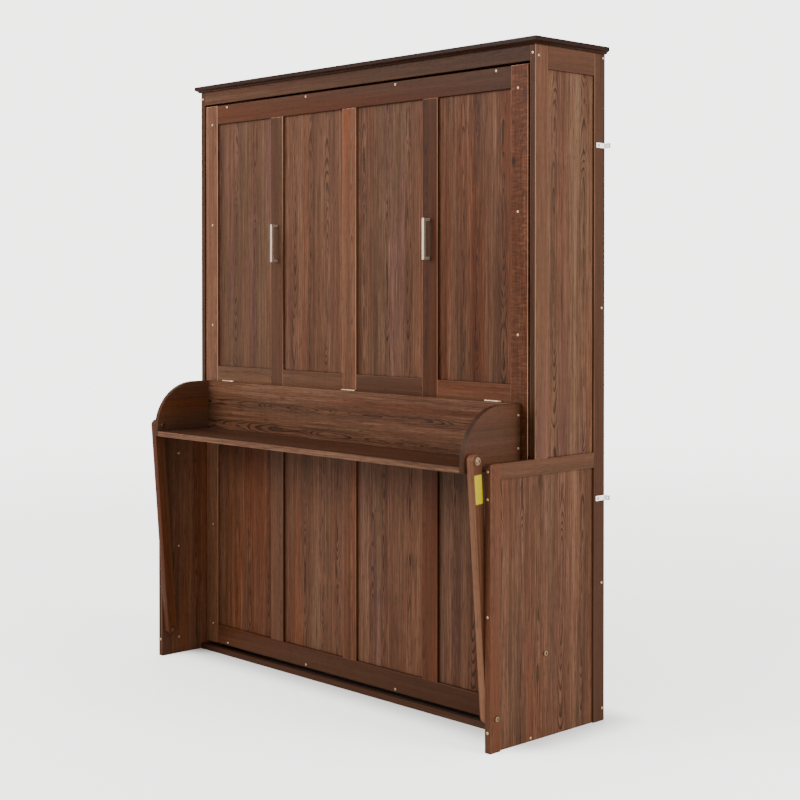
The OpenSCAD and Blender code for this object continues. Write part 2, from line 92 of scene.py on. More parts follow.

# Each board's values: lightness in stops, warmth from -1 to 1, how strongly its figure shows,
# how much lighter or darker its narrow faces are painted in stops as painted light and shade,
# how much of the worn edge colour (partly wear, partly painted highlight) its edges take from 0 to
# 1, and how its lightness drifts in stops a metre.
# A part number follows the name where one node holds several boards.
BOARD_TONES = {
    "bed_upper_panel_1": (0.00, -0.78, 0.70, 0, 0, 0.1),
    "bed_upper_panel_2": (0.08, -0.30, 0.80, 0, 0, 0),
    "bed_upper_panel_3": (0.05, -0.20, 0.95, 0, 0, -0.1),
    "bed_upper_panel_4": (-0.18, 0.20, 1.00, 0, 0, 0.2),
    "bed_lower_panel_1": (-0.24, 0.60, 0.80, 0, 0, 0),
    "bed_lower_panel_2": (0.00, 0.00, 0.75, 0, 0, 0),
    "bed_lower_panel_3": (0.08, 0.00, 0.85, 0, 0, 0),
    "bed_lower_panel_4": (-0.14, -0.20, 0.85, 0, 0, 0),
    "bed_left_stile": (0.42, 0.12, 0.80, 0, 1.5, 0),
    "bed_right_stile": (-0.28, 1.00, 0.80, 0.3, 0.9, 0),
    "bed_inner_stile_1": (-0.34, -0.05, 0.40, 0.6, 1.0, -0.2),
    "bed_inner_stile_2": (0.22, 0.60, 0.90, 0.3, 1.0, 0.35),
    "bed_inner_stile_3": (-0.75, 0.90, 0.60, 0.5, 0.6, -0.66),
    "bed_top_rail": (-0.70, 0.85, 0.35, 0, 0, -0.60),
    "bed_bottom_rail": (-0.96, 0.20, 0.15, 0, 0.3, -0.30),
    "bed_mid_rails/0": (0.36, -0.70, 0.50, 0, 0, 0),
    "bed_mid_rails/1": (-0.06, -0.65, 0.50, 0, 0, 0),
    "bed_mid_rails/2": (-0.62, 0.20, 0.35, 0, 0.1, 0),
    "bed_mid_rails/3": (-0.15, 0.35, 0.50, 0, 0.1, 0),
    "bed_right_side_rail": (-1.80, 0.00, 0.30, 0, 0, 0),
    "bed_left_side_rail": (-0.60, 0.00, 0.30, 0, 0, 0),
    "top_fascia": (-0.85, 0.30, 0.75, 0, 0, -0.65),
    "crown_board": (-1.60, -0.20, 0.30, -0.5, 0, -0.25),
    "crown_moulding": (-1.70, 0.05, 0.30, 0, 0, 0),
    "front_skid_rail": (-1.06, -0.05, 0.30, 0.3, 0, 0),
    "desk_back_board": (0.02, 0.00, 1.10, -0.3, 0, 0),
    "desk_shelf": (-0.66, 0.00, 0.75, 0.95, 0, 0),
    "desk_left_end": (0.10, 0.20, 0.10, -0.9, 0, 0),
    "desk_right_end": (-0.28, -0.15, 0.05, -0.9, 0, 0),
    "link_left": (0.20, 0.55, 0.30, -0.75, 0.0, 0),
    "link_right": (-0.25, 0.80, 0.30, 0.72, 0.3, 0),
    "left_lower_panel": (0.58, 0.30, 0.60, 0, 0, 0),
    "left_lower_stile": (0.10, 0.35, 0.40, -0.8, 0, 0),
    "left_upper_stile": (-0.20, 0.10, 0.40, -0.6, 0, 0),
    "right_upper_panel": (0.42, -0.25, 0.88, 0, 0, 0),
    "right_lower_panel": (0.18, -0.15, 0.90, 0, 0, 0),
    "right_upper_stile": (0.46, -0.15, 0.60, -1.35, 0.5, 0),
    "right_lower_stile": (0.16, -0.05, 0.35, -0.42, 0.4, 0),
    "right_rear_stile": (-0.60, 0.15, 0.35, 0, 0.3, 0),
    "right_top_rail": (0.00, 0.00, 0.20, 0, 0, 0),
    "right_mid_rail": (0.14, -0.25, 0.30, -0.6, 0.3, 0),
}
# the same for a slat and for the sticker, after a board number
SLAT_TONE = (0.0, 0.0, 0.0, 0.9, 0.0, 0.0, 0.0)
STICKER_TONE = (1.0, 0.0, 0.0, 0.0, 0.0, 0.0, 0.0)


# ---- what a user would change ----


class WalnutLook(bpy.types.PropertyGroup):
    """Colours and figure of the stained wood."""

    dark_grain: bpy.props.FloatVectorProperty(
        name="Dark grain",
        description="Colour of the late wood lines and pores",
        subtype="COLOR",
        default=(0.0090, 0.0036, 0.0020),
        min=0,
        max=1,
    )
    brown: bpy.props.FloatVectorProperty(
        name="Brown",
        description="Main colour of the stained wood",
        subtype="COLOR",
        default=(0.0590, 0.0242, 0.0124),
        min=0,
        max=1,
    )
    red_brown: bpy.props.FloatVectorProperty(
        name="Red brown",
        description="Colour of the warm bands and boards",
        subtype="COLOR",
        default=(0.0700, 0.0188, 0.0060),
        min=0,
        max=1,
    )
    olive_brown: bpy.props.FloatVectorProperty(
        name="Olive brown",
        description="Colour of the cool bands and boards",
        subtype="COLOR",
        default=(0.0480, 0.0242, 0.0122),
        min=0,
        max=1,
    )
    mauve_brown: bpy.props.FloatVectorProperty(
        name="Mauve brown",
        description="Colour of the greyish bands",
        subtype="COLOR",
        default=(0.0540, 0.0238, 0.0168),
        min=0,
        max=1,
    )
    pale_streak: bpy.props.FloatVectorProperty(
        name="Pale streak",
        description="Colour that the lightest streaks lean to",
        subtype="COLOR",
        default=(0.0640, 0.0365, 0.0215),
        min=0,
        max=1,
    )
    # the worn edge colour is partly wear and partly a painted highlight on the edges
    worn_edge_and_highlight: bpy.props.FloatVectorProperty(
        name="Worn edge and highlight",
        description="Colour where the stain has rubbed thin",
        subtype="COLOR",
        default=(0.3400, 0.1700, 0.1000),
        min=0,
        max=1,
    )
    ring_spacing: bpy.props.FloatProperty(
        name="Ring spacing",
        description="Distance between two growth rings",
        subtype="DISTANCE",
        default=0.0086,
        min=0.002,
        max=0.05,
    )
    slat_pine: bpy.props.FloatVectorProperty(
        name="Slat wood",
        description="Main colour of the bare slats",
        subtype="COLOR",
        default=(0.34, 0.205, 0.100),
        min=0,
        max=1,
    )


class BoardShape(bpy.types.PropertyGroup):
    """Edges of the boards."""

    eased_edge: bpy.props.FloatProperty(
        name="Eased edge",
        description="Radius sanded on the edges that a hand meets",
        subtype="DISTANCE",
        default=0.0014,
        min=0.0002,
        max=0.004,
    )
    joint_edge: bpy.props.FloatProperty(
        name="Joint edge",
        description="Radius on the edges of thin panels and of hidden boards",
        subtype="DISTANCE",
        default=0.0008,
        min=0.0002,
        max=0.003,
    )


class HardwareLook(bpy.types.PropertyGroup):
    """Metal parts and the sticker."""

    nickel: bpy.props.FloatVectorProperty(
        name="Nickel",
        description="Colour of the handles",
        subtype="COLOR",
        default=(0.38, 0.315, 0.225),
        min=0,
        max=1,
    )
    zinc: bpy.props.FloatVectorProperty(
        name="Zinc",
        description="Colour of the screws, bolts and hinges",
        subtype="COLOR",
        default=(0.43, 0.285, 0.175),
        min=0,
        max=1,
    )
    bracket_paint: bpy.props.FloatVectorProperty(
        name="Bracket paint",
        description="Colour of the wall brackets",
        subtype="COLOR",
        default=(0.80, 0.80, 0.77),
        min=0,
        max=1,
    )
    sticker_yellow: bpy.props.FloatVectorProperty(
        name="Sticker yellow",
        description="Colour of the blank sticker",
        subtype="COLOR",
        default=(0.25, 0.19, 0.0),
        min=0,
        max=1,
    )
    screw_head_radius: bpy.props.FloatProperty(
        name="Screw head radius",
        description="Radius of each wood screw's head",
        subtype="DISTANCE",
        default=0.0046,
        min=0.002,
        max=0.008,
    )
    screw_head_height: bpy.props.FloatProperty(
        name="Screw head height",
        description="How far each screw's head stands out of the wood",
        subtype="DISTANCE",
        default=0.0019,
        min=0.0005,
        max=0.005,
    )


class StageLook(bpy.types.PropertyGroup):
    """Floor, lights and camera."""

    floor_colour: bpy.props.FloatVectorProperty(
        name="Floor",
        description="Colour of the studio floor",
        subtype="COLOR",
        default=(0.80, 0.80, 0.79),
        min=0,
        max=1,
    )
    backdrop: bpy.props.FloatVectorProperty(
        name="Backdrop",
        description="Colour of the air behind the object",
        subtype="COLOR",
        default=(1.0, 1.0, 0.985),
        min=0,
        max=1,
    )
    backdrop_strength: bpy.props.FloatProperty(
        name="Backdrop strength",
        description="Brightness of the backdrop as the camera sees it",
        default=4.0,
        min=0,
        max=10,
    )
    floor_glow: bpy.props.FloatProperty(
        name="Floor glow",
        description="Brightness added to the floor round the object",
        default=1.25,
        min=0,
        max=10,
    )
    ambient: bpy.props.FloatProperty(
        name="Ambient",
        description="Light that comes from all round",
        default=1.75,
        min=0,
        max=10,
    )
    front_power: bpy.props.FloatProperty(
        name="Front light",
        description="Power of the large soft light in front",
        subtype="POWER",
        default=820,
        min=0,
        max=5000,
    )
    side_power: bpy.props.FloatProperty(
        name="Side light",
        description="Power of the soft light on the right",
        subtype="POWER",
        default=400,
        min=0,
        max=5000,
    )
    camera_place: bpy.props.FloatVectorProperty(
        name="Camera place",
        description="Where the camera stands",
        subtype="TRANSLATION",
        default=(4.0496, -3.6416, 1.4205),
    )
    camera_turn: bpy.props.FloatProperty(
        name="Camera turn",
        description="How far the view is turned from straight ahead towards the left",
        subtype="ANGLE",
        default=math.radians(46.475),
    )
    camera_tilt: bpy.props.FloatProperty(
        name="Camera tilt",
        description="How far the view is tipped below the level",
        subtype="ANGLE",
        default=math.radians(0.744),
    )
    lens: bpy.props.FloatProperty(
        name="Lens",
        description="Focal length on a 36 mm sensor",
        default=69.753,
        min=10,
        max=300,
    )
    rise: bpy.props.FloatProperty(
        name="Rise",
        description="Vertical shift of the lens, as a share of the picture's side",
        default=-0.1211,
        min=-0.5,
        max=0.5,
    )


# ---- node trees as expressions ----


class Wire:
    """A socket that can be used in arithmetic."""

    def __init__(self, bench, socket):
        self.bench = bench
        self.socket = socket

    def output(self, name):
        """Another output of the same node."""
        return Wire(self.bench, self.socket.node.outputs[name])

    def __add__(self, other):
        return self.bench.maths("ADD", self, other)

    def __radd__(self, other):
        return self.bench.maths("ADD", other, self)

    def __sub__(self, other):
        return self.bench.maths("SUBTRACT", self, other)

    def __rsub__(self, other):
        return self.bench.maths("SUBTRACT", other, self)

    def __mul__(self, other):
        return self.bench.maths("MULTIPLY", self, other)

    def __rmul__(self, other):
        return self.bench.maths("MULTIPLY", other, self)

    def __truediv__(self, other):
        return self.bench.maths("DIVIDE", self, other)

    def __rtruediv__(self, other):
        return self.bench.maths("DIVIDE", other, self)

    def __rpow__(self, other):
        return self.bench.maths("POWER", other, self)


class Bench:
    """Makes and joins the nodes of one tree."""

    def __init__(self, tree):
        self.tree = tree
        tree.nodes.clear()

    def node(self, kind, settings=None, inputs=None, output=0):
        """Adds a node, sets it up, feeds its inputs and returns one of its outputs."""
        made = self.tree.nodes.new(kind)
        for name, value in (settings or {}).items():
            setattr(made, name, value)
        for name, value in (inputs or {}).items():
            if isinstance(value, Wire):
                self.tree.links.new(value.socket, made.inputs[name])
            else:
                made.inputs[name].default_value = value
        return Wire(self, made.outputs[output]) if made.outputs else None

    def maths(self, operation, *values):
        """A Math node on up to three values."""
        return self.node("ShaderNodeMath", {"operation": operation}, dict(enumerate(values)))

    def step(self, value, low, high):
        """Smooth step from 0 at low to 1 at high."""
        return self.node(
            "ShaderNodeMapRange",
            {"interpolation_type": "SMOOTHSTEP"},
            {"Value": value, "From Min": low, "From Max": high},
        )

    def vector(self, x, y, z):
        """Three values as a vector."""
        return self.node("ShaderNodeCombineXYZ", None, {"X": x, "Y": y, "Z": z})

    def parts(self, vector):
        """The three values of a vector."""
        split = self.node("ShaderNodeSeparateXYZ", None, {"Vector": vector})
        return split, split.output("Y"), split.output("Z")

    def attribute(self, name, output="Fac"):
        """A value that the mesh carries."""
        return self.node("ShaderNodeAttribute", {"attribute_name": name}, output=output)

    def place(self):
        """Where a point is on the object."""
        return self.node("ShaderNodeTexCoord", output="Object")

    def noise(self, place, scale=1.0, detail=2.0, roughness=0.5):
        """Noise between 0 and 1 at a place."""
        return self.node(
            "ShaderNodeTexNoise",
            None,
            {"Vector": place, "Scale": scale, "Detail": detail, "Roughness": roughness},
        )

    def blend(self, share, first, second, mode="MIX"):
        """Mixes two colours, which are the Mix node's inputs 6 and 7 and its output 2."""
        first, second = (c if isinstance(c, Wire) else (*c, 1.0) for c in (first, second))
        return self.node(
            "ShaderNodeMix",
            {"data_type": "RGBA", "blend_type": mode},
            {0: share, 6: first, 7: second},
            output=2,
        )

    def bump(self, height, strength, distance):
        """Bends the surface's normal by a height."""
        return self.node(
            "ShaderNodeBump", None, {"Height": height, "Strength": strength, "Distance": distance}
        )


def new_material(name):
    """An empty node material and the bench that works on it."""
    made = bpy.data.materials.new(name)
    made.use_nodes = True
    return made, Bench(made.node_tree)


def finish_shader(bench, fixed, varied):
    """Adds the surface shader: fixed numbers on its sockets, varied ones joined to it."""
    shader = bench.node("ShaderNodeBsdfPrincipled", None, {**fixed, **varied})
    bench.node("ShaderNodeOutputMaterial", None, {"Surface": shader})


# ---- materials ----


def board_figure(bench, spacing):
    """Grain values of a board: growth lines, streaks, bands and pores.

    Every board carries its own place in the tree: 'grain' holds the distance
    across, along and through the board in metres, 'tone' holds its number,
    lightness and warmth, and 'figure' how strongly its rings show. A board is
    glued up from staves, and each stave has its own heart and shade.
    """
    across, along, through = bench.parts(bench.attribute("grain", "Vector"))
    number, lightness, warmth = bench.parts(bench.attribute("tone", "Vector"))
    strength = bench.attribute("figure")

    def drawn_out(fineness, pace, slid=False, **kind):
        """Noise drawn out along the board, moved across it by its number, or slid along it."""
        x, y = across * fineness, along * pace
        x, y = (x, y + number) if slid else (x + number, y)
        return bench.noise(bench.vector(x, y, through * fineness), **kind)

    lean = bench.noise(bench.vector(number, along * 0.9, number * 1.7), detail=1.0)
    leaning = across + (lean - 0.5) * 0.03
    place = leaning / STAVE_WIDTH + number
    stave = bench.maths("FLOOR", place)
    dice = bench.node(
        "ShaderNodeTexWhiteNoise",
        {"noise_dimensions": "2D"},
        {"Vector": bench.vector(stave, number, 0.0)},
        output="Color",
    )
    thrown = bench.node("ShaderNodeSeparateColor", None, {"Color": dice})
    first, second, third = thrown, thrown.output("Green"), thrown.output("Blue")

    # the heart of each stave's tree slopes in and out of its face
    heart = (place - stave - 0.25 - first * 0.5) * STAVE_WIDTH
    wander = bench.noise(bench.vector(number + stave, along * 3.2, number))
    depth = (
        along * ((second - 0.5) * 0.34)
        + (wander - 0.5) * 0.10
        + (third - 0.5) * 0.05
        + through
    )
    bent = heart + (drawn_out(22.0, 5.0) - 0.5) * 0.012
    radius = bench.maths("SQRT", bent * bent * 4.2 + depth * depth)
    ring = bench.maths("FRACT", radius / spacing + first * 3.0)

    # the late wood of each ring is broken here and there, and fades away from the heart
    late_wood = bench.step(ring, 0.42, 0.80) * bench.step(ring, 1.0, 0.90)
    late_wood = late_wood * bench.step(drawn_out(70.0, 9.0, slid=True), 0.34, 0.52)
    beside_heart = bench.step(bench.maths("ABSOLUTE", bent), 0.026, 0.010)
    late_wood = late_wood * (beside_heart * 0.85 + 0.30)

    hue = bench.noise(bench.vector(across * 13.0 - number, along * 0.8, number), detail=1.5)
    mauve = bench.noise(
        bench.vector(across * 17.0 + number, along * 1.1, number * 3.0), detail=1.0
    )
    dash = drawn_out(300.0, 15.0, slid=True, roughness=0.6)
    pore = drawn_out(900.0, 34.0, slid=True, detail=0.0)
    knot = bench.node(
        "ShaderNodeTexVoronoi",
        {"voronoi_dimensions": "2D"},
        {"Vector": bench.vector(across * 5.5 + number, along * 2.6, 0.0), "Scale": 1.0},
        output="Distance",
    )
    return {
        "late_wood": late_wood * strength,
        "fine": drawn_out(290.0, 4.4, detail=4.0, roughness=0.65),
        "middle": drawn_out(75.0, 1.4),
        "band": drawn_out(15.0, 0.45, detail=1.0),
        "hue": hue + (third - 0.5) * 0.26,
        "mauve": mauve,
        "stave": first + second - 1.0,
        "dashes": bench.step(dash, 0.55, 0.68),
        "pores": bench.step(pore, 0.62, 0.74),
        "curl": drawn_out(34.0, 170.0),
        "knots": bench.step(knot, 0.060, 0.022),
        "strength": strength,
        "lightness": lightness,
        "warmth": warmth,
    }


def stained_wood(name, look, gloss, contrast=1.0, ring_scale=1.0, desk_shadow=0.0):
    """Stained, satin lacquered wood, with painted shade under the desk, where its lighter narrow
    faces are darkened and its edges get less of the worn edge colour and painted highlight.
    """
    made, bench = new_material(name)
    figure = board_figure(bench, look.ring_spacing * ring_scale)
    edge, side = bench.attribute("edge"), bench.attribute("painted_side_shading")
    _, _, height = bench.parts(bench.place())
    # painted shade under the desk: there the narrow faces painted lighter are darkened again
    below = bench.step(height, DESK_SHADE_TOP, DESK_SHADE_FOOT)
    painted_side_shading = side - bench.maths("MAXIMUM", side, 0.0) * below * (desk_shadow * 1.5)

    # the warmest boards are curly, and those and the most figured ones have knots
    curled = bench.step(figure["warmth"], 0.93, 0.99)
    knotty = bench.maths("MAXIMUM", bench.step(figure["strength"], 1.03, 1.05) * 0.4, curled)

    # stops of lightness, added up and then turned into a gain
    lively = figure["strength"] * 0.62 + 0.38
    streaks = (
        (figure["fine"] - 0.5) * (3.0 * contrast)
        + (figure["middle"] - 0.5) * (1.7 * contrast)
        + (figure["curl"] - 0.5) * curled * 2.4
    )
    # the painted light and shade of the narrow faces is added into these stops
    stops = (
        streaks * lively
        + (figure["band"] - 0.5) * 1.1
        + figure["stave"] * 0.16
        + figure["lightness"]
        + painted_side_shading
    )
    gain = 2.0 ** bench.maths("MINIMUM", stops, 0.45 + stops * 0.35)

    # bands of warmer, cooler and greyish brown, and paler wood where it is lightest
    warmed = figure["hue"] + figure["warmth"] * 0.26
    warm = bench.step(warmed, 0.54, 0.82)
    cool = bench.step(1.0 - warmed, 0.50, 0.76)
    greyish = bench.step(figure["mauve"], 0.46, 0.62)
    cold = bench.blend(greyish, look.olive_brown, look.mauve_brown)
    tinted = bench.blend(warm * 0.75, look.brown, look.red_brown)
    tinted = bench.blend(cool * 0.8, tinted, cold)
    pale = bench.step(stops - figure["lightness"] - painted_side_shading * 0.55, 0.0, 0.9)
    paled = bench.blend(pale * 0.55, tinted, look.pale_streak)

    # the stain is redder where it lies dark
    dimmed = bench.maths("MINIMUM", stops, 0.0)
    green = gain * 2.0 ** (dimmed * 0.14)
    blue = gain * 2.0 ** (dimmed * 0.30)
    lit = bench.blend(1.0, paled, bench.vector(gain, green, blue), "MULTIPLY")

    # rings, dashes, pores and knots are all drawn in the dark of the grain
    lined = bench.blend(figure["late_wood"] * (0.85 * contrast), lit, look.dark_grain)
    short = figure["dashes"] * lively * (0.50 * contrast)
    dashed = bench.blend(short, lined, look.dark_grain)
    dark = bench.maths("MAXIMUM", figure["pores"] * 0.35, figure["knots"] * knotty * 0.85)
    pored = bench.blend(dark, dashed, look.dark_grain)

    # the worn edge colour on the sanded edges, where the finish rubs thin, stands partly for wear
    # and partly for a painted highlight, and is dimmed under the desk as painted shade
    wear_and_highlight = edge * bench.step(figure["middle"], 0.22, 0.60) * (1.0 - below * (desk_shadow * 0.8))
    colour = bench.blend(wear_and_highlight, pored, look.worn_edge_and_highlight)

    roughness = gloss + figure["pores"] * 0.14 + (figure["middle"] - 0.5) * 0.10
    relief = figure["fine"] * 0.30 - figure["pores"] * 0.6 - figure["late_wood"] * 0.35
    finish_shader(
        bench,
        {"Specular IOR Level": 0.05},
        {"Base Color": colour, "Roughness": roughness, "Normal": bench.bump(relief, 0.22, 0.0006)},
    )
    return made


def bare_slat_wood(name, look):
    """Planed softwood without a stain."""
    made, bench = new_material(name)
    figure = board_figure(bench, look.ring_spacing * 0.8)
    pale = [min(1.0, c * 1.25) for c in look.slat_pine]
    deep = [c * 0.78 for c in look.slat_pine]
    dark = [c * 0.62 for c in look.slat_pine]
    shade = (
        0.5
        + (figure["fine"] - 0.5) * 2.2
        + (figure["middle"] - 0.5) * 1.6
        + (figure["band"] - 0.5) * 1.2
        + figure["lightness"] * 0.5
    )
    wood = bench.blend(bench.step(shade, 0.0, 1.0), deep, pale)
    lined = bench.blend(figure["late_wood"] * 0.7, wood, dark)
    finish_shader(
        bench,
        {"Specular IOR Level": 0.3},
        {
            "Base Color": lined,
            "Roughness": 0.62 + figure["fine"] * 0.1,
            "Normal": bench.bump(figure["fine"], 0.2, 0.0005),
        },
    )
    return made


def brushed_metal(name, colour, roughness, direction, metallic=1.0):
    """Metal with fine brushing along one axis."""
    made, bench = new_material(name)
    stretch = [900.0, 900.0, 900.0]
    stretch[direction] = 18.0
    stretched = bench.node(
        "ShaderNodeMapping", None, {"Vector": bench.place(), "Scale": tuple(stretch)}
    )
    brush = bench.noise(stretched)
    smudge = bench.noise(bench.place(), scale=35.0, detail=3.0)
    darker = [c * 0.80 for c in colour]
    tint = bench.blend(bench.step(smudge, 0.35, 0.75) * 0.6, colour, darker)
    rough = roughness + (brush - 0.5) * 0.10 + (smudge - 0.5) * 0.12
    finish_shader(
        bench,
        {"Metallic": metallic},
        {"Base Color": tint, "Roughness": rough, "Normal": bench.bump(brush, 0.06, 0.0002)},
    )
    return made


def bracket_coat(name, colour):
    """Pale coat on pressed steel."""
    made, bench = new_material(name)
    peel = bench.noise(bench.place(), scale=420.0)
    cloud = bench.noise(bench.place(), scale=24.0, detail=3.0)
    darker = [c * 0.72 for c in colour]
    tint = bench.blend(bench.step(cloud, 0.45, 0.80), colour, darker)
    finish_shader(
        bench,
        {"Metallic": 0.25},
        {
            "Base Color": tint,
            "Roughness": 0.36 + cloud * 0.16,
            "Normal": bench.bump(peel, 0.12, 0.0003),
        },
    )
    return made


def sticker_film(name, colour):
    """Blank glossy film with a plain printed border."""
    made, bench = new_material(name)
    grain = bench.attribute("grain", "Vector")
    across, along, _ = bench.parts(grain)
    # the border starts at these distances from the film's middle line and middle
    past_side = bench.step(bench.maths("ABSOLUTE", across), 12.8 * MM, 13.4 * MM)
    past_end = bench.step(bench.maths("ABSOLUTE", along), 41.2 * MM, 41.8 * MM)
    border = bench.maths("MAXIMUM", past_side, past_end)
    crease = bench.noise(grain, scale=95.0, detail=3.0)
    ink = [c * 0.62 for c in colour]
    pale = [c * 1.15 for c in colour]
    film = bench.blend(bench.step(crease, 0.35, 0.70), colour, pale)
    printed = bench.blend(border * 0.35, film, ink)
    finish_shader(
        bench,
        {"Specular IOR Level": 0.15},
        {
            "Base Color": printed,
            "Roughness": 0.34 + crease * 0.1,
            "Normal": bench.bump(crease, 0.35, 0.0006),
        },
    )
    return made


# each finish is made once and shared by its pieces
MATERIALS = {}


def material(name):
    """The material of a slot, or the darker one of the bolts, made when first asked for."""
    if name in MATERIALS:
        return MATERIALS[name]
    walnut = bpy.context.scene.wall_bed_walnut
    metal = bpy.context.scene.wall_bed_hardware
    bolt_zinc = [c * 0.5 for c in metal.zinc]
    makers = {
        "walnut_frame": lambda: stained_wood("Walnut frame", walnut, 0.40, 0.72, desk_shadow=1.0),
        "walnut_panel": lambda: stained_wood("Walnut panel", walnut, 0.46),
        "walnut_desk": lambda: stained_wood("Walnut desk", walnut, 0.42, 0.85, ring_scale=0.95),
        "walnut_crown": lambda: stained_wood("Walnut crown", walnut, 0.36, 0.6),
        "walnut_link": lambda: stained_wood("Walnut link", walnut, 0.40, 0.7),
        "walnut_box": lambda: stained_wood("Walnut box", walnut, 0.48, 0.8),
        "pale_slats": lambda: bare_slat_wood("Slat pine", walnut),
        "handle_nickel": lambda: brushed_metal("Brushed nickel", metal.nickel, 0.42, 2, 0.6),
        "hinge_steel": lambda: brushed_metal("Hinge plate", metal.zinc, 0.36, 0, 0.8),
        "bright_fasteners": lambda: brushed_metal("Zinc plate", metal.zinc, 0.34, 1, 0.9),
        "bolt": lambda: brushed_metal("Bolt zinc", bolt_zinc, 0.30, 1),
        "bracket_steel": lambda: bracket_coat("Bracket coat", metal.bracket_paint),
        "sticker": lambda: sticker_film("Sticker film", metal.sticker_yellow),
    }
    MATERIALS[name] = makers[name]()
    return MATERIALS[name]


NODE_SLOTS = {row["node"]: row["material_slot"] for row in frame["record"]["subparts"]}


# ---- shapes ----


def body_name(node):
    """The rigid body that a CAD node belongs to."""
    return frame["nodes"][node]["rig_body"]


def new_object(name, data):
    """An object in the scene that holds the data."""
    made = bpy.data.objects.new(name, data)
    bpy.context.scene.collection.objects.link(made)
    return made


def hand_over(piece, node):
    """Puts a finished piece in the place of a CAD node."""
    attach(piece, body_name(node))
    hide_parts(node)
    return piece


def span(points):
    """The lowest and the highest corner of the box round some points."""
    low = Vector([min(p[axis] for p in points) for axis in range(3)])
    return low, Vector([max(p[axis] for p in points) for axis in range(3)])


def merged_copy(node):
    """A bmesh of a CAD node with its corners joined and its flat faces whole."""
    shape = bmesh.new()
    shape.from_mesh(frame["nodes"][node].data)
    bmesh.ops.remove_doubles(shape, verts=shape.verts, dist=0.00001)
    bmesh.ops.dissolve_limit(
        shape, angle_limit=math.radians(0.5), verts=shape.verts, edges=shape.edges
    )
    return shape


def islands(shape):
    """Groups of vertices that hang together, lowest corner first."""

    def corner(group):
        return tuple(round(min(v.co[axis] for v in group), 4) for axis in (2, 0, 1))

    left = set(shape.verts)
    groups = []
    while left:
        start = left.pop()
        group, front = [start], [start]
        while front:
            for edge in front.pop().link_edges:
                for vertex in edge.verts:
                    if vertex in left:
                        left.remove(vertex)
                        group.append(vertex)
                        front.append(vertex)
        groups.append(group)
    return sorted(groups, key=corner)


def ease_edges(shape, radius, segments=2, shortest=0.007):
    """Rounds the long sharp edges and marks the new strips as sanded edges."""
    for face in shape.faces:
        bends = [e.calc_face_angle(0.0) for e in face.edges if len(e.link_faces) == 2]
        face.smooth = any(ROUND_FROM < bend < ROUND_TO for bend in bends)
    mark = shape.faces.layers.float.new("edge_strip")
    sharp = [
        e
        for e in shape.edges
        if len(e.link_faces) == 2
        and e.calc_face_angle(0.0) > SHARP_FROM
        and e.calc_length() > shortest
    ]
    if sharp:
        made = bmesh.ops.bevel(
            shape,
            geom=sharp,
            offset=radius,
            offset_type="OFFSET",
            segments=segments,
            profile=0.5,
            affect="EDGES",
            clamp_overlap=True,
        )
        for face in made["faces"]:
            face[mark] = 1.0
            face.smooth = True


def grain_axes(extent, lie):
    """Axes across, along and through a board; lie names the long axis if the size doesn't."""
    through, across, along = sorted(range(3), key=lambda i: extent[i])
    if lie is not None and lie != along:
        along, across = lie, next(i for i in (along, across) if i != lie)
    return across, along, through


def store_grain(mesh, groups, tones, lie=None, turn=None):
    """Writes each board's own grain, tone and figure on its corners, and on its faces the painted
    light and shade of its narrow faces and its share of the worn edge colour and painted
    highlight.
    """
    count = len(mesh.vertices)
    grain, tone, figure = [0.0] * (3 * count), [0.0] * (3 * count), [0.0] * count
    turn = turn or Matrix.Identity(3)
    owner, thickness = {}, {}
    for part, group in enumerate(groups):
        number, lightness, warmth, strength, _, _, drift = tones[part]
        places = {i: turn @ mesh.vertices[i].co for i in group}
        low, high = span(places.values())
        across, along, through = grain_axes([h - l for l, h in zip(low, high)], lie)
        thickness[part] = through
        for i, p in places.items():
            owner[i] = part
            for slot, axis in enumerate((across, along, through)):
                grain[3 * i + slot] = p[axis] - (low[axis] + high[axis]) / 2
            drifted = lightness + drift * grain[3 * i + 1]
            tone[3 * i : 3 * i + 3] = (number, drifted, warmth)
            figure[i] = strength
    # painted light and shade on each board's narrow faces, in stops
    painted_side_shading = []
    edge = mesh.attributes["edge"].data if "edge" in mesh.attributes else None
    for face in mesh.polygons:
        part = owner[face.vertices[0]]
        *_, lighter, wear_and_highlight_share, _ = tones[part]
        flatness = abs((turn @ face.normal)[thickness[part]])
        painted_side_shading.append(lighter * (1.0 - flatness))
        if edge:
            edge[face.index].value *= wear_and_highlight_share
    for name, kind, domain, values in (
        ("grain", "FLOAT_VECTOR", "POINT", grain),
        ("tone", "FLOAT_VECTOR", "POINT", tone),
        ("figure", "FLOAT", "POINT", figure),
        ("painted_side_shading", "FLOAT", "FACE", painted_side_shading),
    ):
        layer = mesh.attributes.new(name, kind, domain)
        layer.data.foreach_set("vector" if kind == "FLOAT_VECTOR" else "value", values)


def board_tone(node, part):
    """A board's own number, followed by its values from the table."""
    dice = random.Random(f"{node}/{part}")
    # a board that is not listed gets narrow faces painted 0.2 stops darker as painted shade, and a
    # little worn edge colour and painted highlight
    usual = (dice.uniform(-0.25, 0.05), dice.uniform(-0.3, 0.3), 0.45, -0.2, 0.1, 0)
    listed = BOARD_TONES.get(f"{node}/{part}", BOARD_TONES.get(node, usual))
    return dice.uniform(2.0, 90.0), *listed


def piece_from(shape, node):
    """Turns a bmesh into a finished piece that stands for a CAD node."""
    mesh = bpy.data.meshes.new(f"{node}.finished")
    mark = shape.faces.layers.float.get("edge_strip")
    strips = [f[mark] for f in shape.faces] if mark else [0.0] * len(shape.faces)
    if mark:
        shape.faces.layers.float.remove(mark)
    shape.to_mesh(mesh)
    shape.free()
    layer = mesh.attributes.new("edge", "FLOAT", "FACE")
    layer.data.foreach_set("value", strips)
    mesh.materials.append(material(NODE_SLOTS[node]))
    return hand_over(new_object(f"{node}.finished", mesh), node)


